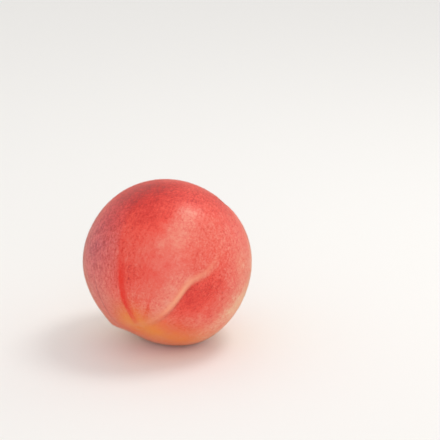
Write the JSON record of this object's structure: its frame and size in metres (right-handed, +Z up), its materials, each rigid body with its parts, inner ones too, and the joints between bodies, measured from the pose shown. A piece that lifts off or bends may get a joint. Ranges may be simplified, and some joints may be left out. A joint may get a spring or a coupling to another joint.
{
  "type": "white peach",
  "caption": "Ripe white peach as picked: round, downy fruit with a pinched suture, a stem cavity and a dimpled tip, lying on its side on a small flat spot.",
  "frame": {"origin": "middle of the bottom of the fruit's box, on the surface it rests on", "axes": "+Z up; the tip points down and toward -Y, the stem cavity up and toward +X and +Y, and the pinched crease faces +X and -Y"},
  "size_m": [0.086, 0.0854, 0.0845],
  "materials": {
    "skin": "matt coral blush over cream, covered in fine pale down"
  },
  "bodies": {
    "root": {"peach": "skin"}
  },
  "joints": []
}
